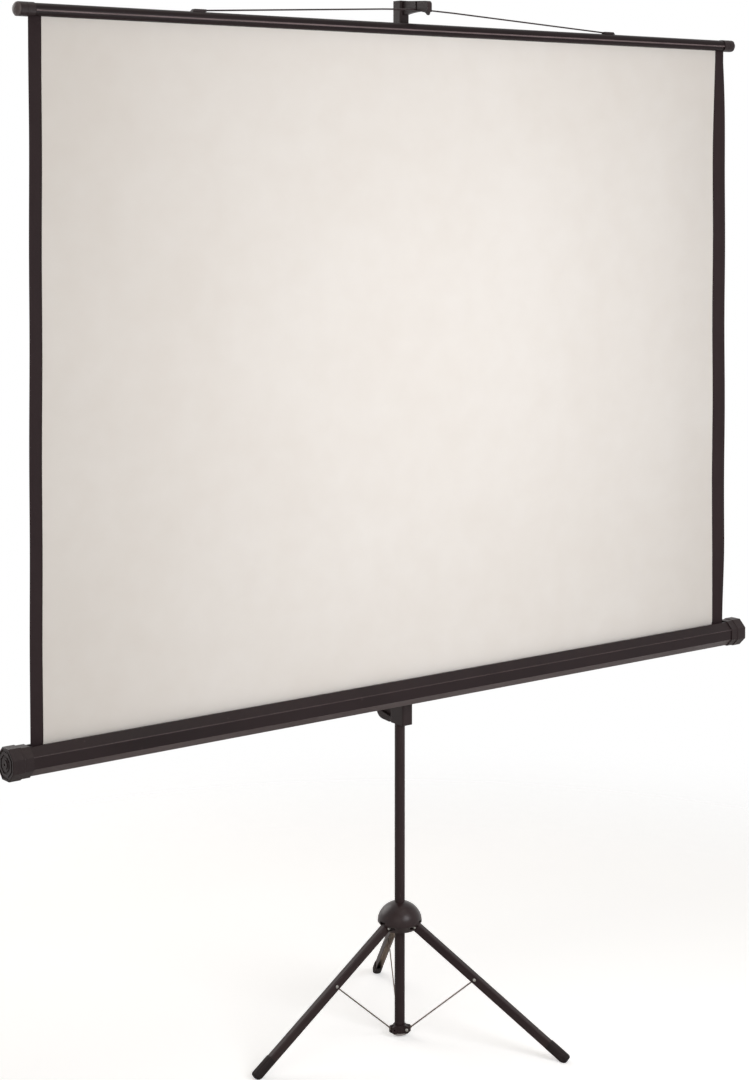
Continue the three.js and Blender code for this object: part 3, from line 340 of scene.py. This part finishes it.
scuffing = {"stretch": (1, 1, 0.25), "scale": 14, "from": 0.66, "to": 0.74, "share": 0.35}
bumpReach = 0.4 * mm


def hardFinish(name):
    settings = finishes[name]
    material = bpy.data.materials.new(name)
    material.use_nodes = True
    tree = material.node_tree
    shader = tree.nodes["Principled BSDF"]
    where = tree.nodes.new("ShaderNodeTexCoord").outputs["Object"]
    patches = ramp(tree, noise(tree, where, settings["patch"], 4), 0.35, 0.65)
    grain = noise(tree, where, settings["grain"], 2)
    # sparse fine scuffs, drawn out along the piece
    stretch = tree.nodes.new("ShaderNodeMapping")
    stretch.inputs["Scale"].default_value = scuffing["stretch"]
    tree.links.new(where, stretch.inputs["Vector"])
    specks = noise(tree, stretch.outputs["Vector"], settings["patch"] * scuffing["scale"], 5, 0.7)
    scuffs = ramp(tree, specks, scuffing["from"], scuffing["to"], 0, scuffing["share"])
    colour = blendColours(tree, patches, settings["colour"], settings["second"])
    colour = blendColours(tree, scuffs, colour, settings["mark"])
    tree.links.new(colour, shader.inputs["Base Color"])
    shine = combine(tree, "ADD", combine(tree, "MULTIPLY", patches, 0.5), combine(tree, "MULTIPLY", grain, 0.5))
    tree.links.new(ramp(tree, shine, 0.2, 0.8, *settings["rough"]), shader.inputs["Roughness"])
    tree.links.new(bumpFrom(tree, grain, settings["depth"] * 4, bumpReach), shader.inputs["Normal"])
    shader.inputs["Metallic"].default_value = settings.get("metal", 0.0)
    if "metal" not in settings:
        shader.inputs["Specular IOR Level"].default_value = settings.get("shine", 0.2)
    return material


materials = {name: hardFinish(name) for name in finishes}

weaves = {
    "screenCloth": {
        "slot": "screen_fabric", "colour": (243, 238, 232), "second": (239, 233, 226), "rough": 0.85,
        "pitch": 1.1 * mm, "depth": 0.12, "sheen": 0.05, "shine": 0.2,
    },
    "borderTape": {
        "slot": "border_tape", "colour": (46, 35, 37), "second": (52, 41, 42), "rough": 0.8,
        "pitch": 1.3 * mm, "depth": 0.3, "sheen": 0.05, "shine": 0.15,
    },
}


clouding = {"wide": 2.6, "small": 17, "wideShare": 0.6, "slub": 260}


def wovenFinish(name):
    settings = weaves[name]
    material = bpy.data.materials.new(name)
    material.use_nodes = True
    tree = material.node_tree
    shader = tree.nodes["Principled BSDF"]
    where = tree.nodes.new("ShaderNodeTexCoord").outputs["Object"]
    split = tree.nodes.new("ShaderNodeSeparateXYZ")
    tree.links.new(where, split.inputs[0])
    turns = 2 * math.pi / settings["pitch"]
    threads = [
        combine(tree, "SINE", combine(tree, "MULTIPLY", split.outputs[axis], turns), 0) for axis in ("X", "Z")
    ]
    weave = combine(tree, "MULTIPLY", *threads)
    slub = noise(tree, where, clouding["slub"], 3)
    height = combine(tree, "ADD", combine(tree, "MULTIPLY", weave, 0.5), slub)
    # soft clouds, wide and small
    clouds = combine(
        tree, "ADD", combine(tree, "MULTIPLY", noise(tree, where, clouding["wide"], 2), clouding["wideShare"]),
        combine(tree, "MULTIPLY", noise(tree, where, clouding["small"], 2), 1 - clouding["wideShare"]),
    )
    colour = blendColours(tree, ramp(tree, clouds, 0.35, 0.65), settings["colour"], settings["second"])
    tree.links.new(colour, shader.inputs["Base Color"])
    shader.inputs["Roughness"].default_value = settings["rough"]
    shader.inputs["Sheen Weight"].default_value = settings["sheen"]
    shader.inputs["Specular IOR Level"].default_value = settings["shine"]
    tree.links.new(bumpFrom(tree, height, settings["depth"], bumpReach), shader.inputs["Normal"])
    return material


for name in weaves:
    materials[name] = wovenFinish(name)
print("finishes made:", len(materials))


# Shaping

def shadeByAngle(bm, degrees):
    limit = math.radians(degrees)
    for face in bm.faces:
        face.smooth = True
    for edge in bm.edges:
        edge.smooth = len(edge.link_faces) == 2 and edge.calc_face_angle(0) < limit


def finishPiece(name, bm, finish, body, nodes=(), angle=38, weighted=True):
    shadeByAngle(bm, angle)
    mesh = bpy.data.meshes.new(name)
    bm.to_mesh(mesh)
    bm.free()
    piece = bpy.data.objects.new(name, mesh)
    bpy.context.scene.collection.objects.link(piece)
    mesh.materials.append(materials[finish])
    if weighted:
        flat = piece.modifiers.new("flatFaces", "WEIGHTED_NORMAL")
        flat.keep_sharp = True
    if nodes:
        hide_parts(*nodes)
    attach(piece, body)
    return piece


def bodyOf(node):
    return frame["nodes"][node]["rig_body"]


# a copy of a solid, its doubles merged, its sharp edges rounded
def dressNode(node, finish, edge=0.4, steps=2, sharp=32, flat=0.6, merge=0.004):
    bm = bmesh.new()
    bm.from_mesh(frame["nodes"][node].data)
    bmesh.ops.remove_doubles(bm, verts=bm.verts, dist=merge * mm)
    bmesh.ops.dissolve_limit(bm, angle_limit=math.radians(flat), verts=bm.verts, edges=bm.edges)
    if edge:
        corners = [
            e for e in bm.edges if len(e.link_faces) == 2 and e.calc_face_angle(0) > math.radians(sharp)
        ]
        bmesh.ops.bevel(
            bm, geom=corners, offset=edge * mm, offset_type="OFFSET", affect="EDGES", segments=steps,
            profile=0.5, material=-1, clamp_overlap=True,
        )
    return finishPiece(f"{node}_dressed", bm, finish, bodyOf(node), [node])


legs = {
    "turns": (180, 300, 60), "pivotRadius": 37 * mm, "pivotHeight": 237 * mm, "footRadius": 364 * mm,
    "footHeight": 5 * mm, "inward": 0.5 * mm,
}
barCaps = {"domeStart": 915.2 * mm}
caseFacet = {"forward": -0.4, "down": -0.4}


# the open side of a leg gets painted reflected light, a paler colour standing in for the floor's light inside
# the channel: those faces look toward the leg's own middle line
def paintLitInside(piece, index):
    turn = math.radians(legs["turns"][index])
    outward = Vector((math.cos(turn), math.sin(turn), 0))
    top = outward * legs["pivotRadius"] + Vector((0, 0, legs["pivotHeight"]))
    foot = outward * legs["footRadius"] + Vector((0, 0, legs["footHeight"]))
    along = (foot - top).normalized()
    piece.data.materials.append(materials["legInsidePaintedLight"])
    for face in piece.data.polygons:
        nearest = top + along * (face.center - top).dot(along)
        if face.normal.dot(nearest - face.center) > legs["inward"]:
            face.material_index = 1


# a bar cap is black round the bar and grey on its domed end
def paintCollar(piece):
    piece.data.materials.append(materials["blackPlastic"])
    for face in piece.data.polygons:
        if abs(face.center.x) < barCaps["domeStart"]:
            face.material_index = 1


# the facet under the front of the case catches the light of the floor
def paintUnder(piece):
    piece.data.materials.append(materials["caseUnder"])
    for face in piece.data.polygons:
        if face.normal.y < caseFacet["forward"] and face.normal.z < caseFacet["down"]:
            face.material_index = 1


# each solid's finish, and how many millimetres its edges are rounded
dressing = {
    "outer_tube": ("paintedSteel", 0.3), "tube_plug": ("palePlastic", 0.8),
    "extension_rod": ("paintedSteel", 0.3), "rod_bush": ("blackPlastic", 0.3),
    "tube_collar": ("blackPlastic", 0.6), "lock_knob": ("blackPlastic", 0.6),
    "stay_bracket": ("paintedSteel", 0.3), "hub_bush": ("greyPlastic", 0.3),
    "hub_dome": ("domePlastic", 0.5), "case_shell": ("caseEnamel", 0.6),
    "end_cap_left": ("blackPlastic", 0.7), "end_cap_right": ("blackPlastic", 0.7),
    "roller_tube": ("rollerAluminium", 0.3), "roller_plug_left": ("greyPlastic", 0.3),
    "roller_plug_right": ("greyPlastic", 0.3), "spring_arbor": ("zincPlate", 0.3),
    "roller_spring": ("zincPlate", 0), "top_bar": ("barEnamel", 0.5),
    "bar_collar_left": ("blackPlastic", 0.5), "bar_collar_right": ("blackPlastic", 0.5),
    "bar_cap_left": ("greyPlastic", 0.8), "bar_cap_right": ("greyPlastic", 0.8),
    "bail": ("paintedSteel", 0), "bail_clip_left": ("blackPlastic", 0.4),
    "bail_clip_right": ("blackPlastic", 0.4), "hook_head": ("blackPlastic", 0.7),
    "slide_block": ("blackPlastic", 0.8), "brake_shoe": ("bootRubber", 0.4),
    "lever_pin": ("zincPlate", 0.3), "release_lever": ("blackPlastic", 0.8),
    "swivel_plate": ("zincPlate", 0.3), "case_plate": ("paintedSteel", 0.3),
    "swivel_bolt": ("zincPlate", 0.3),
}
for i in (1, 2, 3):
    dressing[f"hub_rivet_{i}"] = ("zincPlate", 0.4)
    dressing[f"leg_channel_{i}"] = ("paintedSteel", 0.5)
    dressing[f"leg_foot_{i}"] = ("bootRubber", 1.2)
    dressing[f"stay_rivet_{i}"] = ("zincPlate", 0.4)
    dressing[f"stay_{i}"] = ("stayWire", 0.4)
    dressing[f"foot_rivet_{i}"] = ("zincPlate", 0.4)
for node, (finish, edge) in dressing.items():
    piece = dressNode(node, finish, edge)
    if node.startswith("leg_channel"):
        paintLitInside(piece, int(node[-1]) - 1)
    if node.startswith("bar_cap"):
        paintCollar(piece)
    if node == "case_shell":
        paintUnder(piece)
print("solids dressed:", len(dressing))


# Beads: rounded ribs rolled along the bar and the case, given a lighter colour as a painted highlight

beads = {
    "bar_bead_front": {"on": "top_bar", "y": -73.1, "z": 2098.3, "radius": 1.5, "finish": "ridgeHighlight"},
    "bar_bead_back": {"on": "top_bar", "y": -46.9, "z": 2098.3, "radius": 1.5, "finish": "ridgeHighlight"},
    "case_bead": {"on": "case_shell", "y": -86.6, "z": 755.5, "radius": 0.98, "finish": "ribHighlight"},
}
beadInset = 17 * mm
for name, bead in beads.items():
    low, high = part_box(bead["on"])
    bm = bmesh.new()
    bmesh.ops.create_cone(
        bm, cap_ends=True, segments=12, radius1=bead["radius"] * mm, radius2=bead["radius"] * mm,
        depth=high.x - low.x - 2 * beadInset,
        matrix=Matrix.Translation((0, bead["y"] * mm, bead["z"] * mm)) @ Matrix.Rotation(math.pi / 2, 4, "Y"),
    )
    finishPiece(name, bm, bead["finish"], bodyOf(bead["on"]))
print("beads made:", len(beads))


# Cloth

# the sheet, its side borders and how they hang; the heights are those of the case's slot and the roller
cloth = {
    "viewHalf": 872 * mm, "border": 27 * mm, "thick": 0.6 * mm, "gap": 0.3 * mm, "drawIn": 5 * mm,
    "caseTop": 771 * mm, "front": -60 * mm, "held": 26 * mm, "fadeTop": 230 * mm, "fadeBottom": 200 * mm,
    "slotShare": 0.5, "flatBelow": 756 * mm, "freeAbove": 768 * mm, "travel": 870 * mm, "curl": 1.25,
    "columns": 120, "rows": 84, "insideShare": 0.08, "tapeColumns": 4,
}
# each edge: how far the sheet bows back beside its tape, and how far the tape's outer edge comes forward
edges = {
    -1: {"bow": 0.5 * mm, "forward": 1 * mm, "width": 120 * mm},
    1: {"bow": 5 * mm, "forward": 8 * mm, "width": 150 * mm},
}
clothLow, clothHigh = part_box("screen_sheet")
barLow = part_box("top_bar")[0]


def easeInOut(t):
    t = min(max(t, 0.0), 1.0)
    return t * t * (3 - 2 * t)


# how freely the sheet curls at a height: flat in the bar and on the roller, half held in the case's slot
def freeShare(z):
    below = min(max((barLow.z - cloth["held"] - z) / cloth["fadeTop"], 0), 1)
    slot = cloth["slotShare"]
    above = slot + (1 - slot) * easeInOut((z - cloth["caseTop"]) / cloth["fadeBottom"])
    inside = easeInOut((z - cloth["flatBelow"]) / (cloth["freeAbove"] - cloth["flatBelow"]))
    return (1 - (1 - below) ** 2) * above * inside


def edgeTurn(x, z):
    edge = edges[1 if x > 0 else -1]
    beyond = abs(x) - cloth["viewHalf"]
    if beyond < 0:
        back = edge["bow"] * easeInOut(1 + beyond / edge["width"])
    else:
        back = edge["bow"] - (edge["bow"] + edge["forward"]) * (beyond / cloth["border"]) ** cloth["curl"]
    return back * freeShare(z)


ripples = {
    "longHeight": 0.7 * mm, "longAcross": 7.1, "longUp": 3.3, "offset": 0.6, "skew": 1.7,
    "shortHeight": 0.8 * mm, "shortAcross": 9, "shortUp": 17, "shortFrom": 0.5, "shortOver": 0.4,
}


# soft waves, gone at the case and the bar, with short ones toward the side edges
def rippleAt(x, z):
    nearEdge = easeInOut((abs(x) - ripples["shortFrom"]) / ripples["shortOver"])
    long = math.sin(x * ripples["longAcross"] + ripples["offset"])
    long *= math.sin(z * ripples["longUp"] + x * ripples["skew"])
    short = math.sin(z * ripples["shortUp"] + x * ripples["shortAcross"]) * nearEdge
    return (ripples["longHeight"] * long + ripples["shortHeight"] * short) * freeShare(z)


def clothPoint(x, z):
    leanShare = max((cloth["caseTop"] - z) / (cloth["caseTop"] - clothLow.z), 0)
    lean = (clothHigh.y - cloth["thick"] / 2 - cloth["front"]) * leanShare
    risen = (z - cloth["caseTop"]) / (clothHigh.z - cloth["caseTop"])
    drawn = 1 - cloth["drawIn"] / cloth["viewHalf"] * easeInOut(risen)
    return (x * drawn, cloth["front"] + lean + edgeTurn(x, z) + rippleAt(x, z), z)


def clothStrip(name, finish, left, right, columns, nodes):
    bm = bmesh.new()
    bmesh.ops.create_grid(bm, x_segments=columns, y_segments=cloth["rows"], size=0.5)
    insideShare = cloth["insideShare"]
    for vert in bm.verts:
        across, up = vert.co.x + 0.5, vert.co.y + 0.5
        x = left + (right - left) * across
        if up < insideShare:
            z = clothLow.z + (cloth["caseTop"] - clothLow.z) * up / insideShare
        else:
            z = cloth["caseTop"] + (clothHigh.z - cloth["caseTop"]) * (up - insideShare) / (1 - insideShare)
        vert.co = clothPoint(x, z)
    bmesh.ops.recalc_face_normals(bm, faces=bm.faces)
    if bm.faces[0].normal.y > 0:
        bmesh.ops.reverse_faces(bm, faces=bm.faces)
    for vert in bm.verts:
        vert.co.y -= cloth["thick"] / 2
    bmesh.ops.solidify(bm, geom=bm.faces[:], thickness=cloth["thick"])
    bmesh.ops.recalc_face_normals(bm, faces=bm.faces)
    piece = finishPiece(name, bm, finish, "case", nodes, angle=50, weighted=False)
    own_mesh(piece)
    return piece


for side, sign in (("left", -1), ("right", 1)):
    ends = sorted((sign * (cloth["viewHalf"] + cloth["gap"]), sign * (cloth["viewHalf"] + cloth["border"])))
    clothStrip(f"edge_tape_{side}", "borderTape", *ends, cloth["tapeColumns"], [f"border_{side}"])
screen = clothStrip(
    "screen_cloth", "screenCloth", -cloth["viewHalf"], cloth["viewHalf"], cloth["columns"], ["screen_sheet"]
)
print("cloth made")
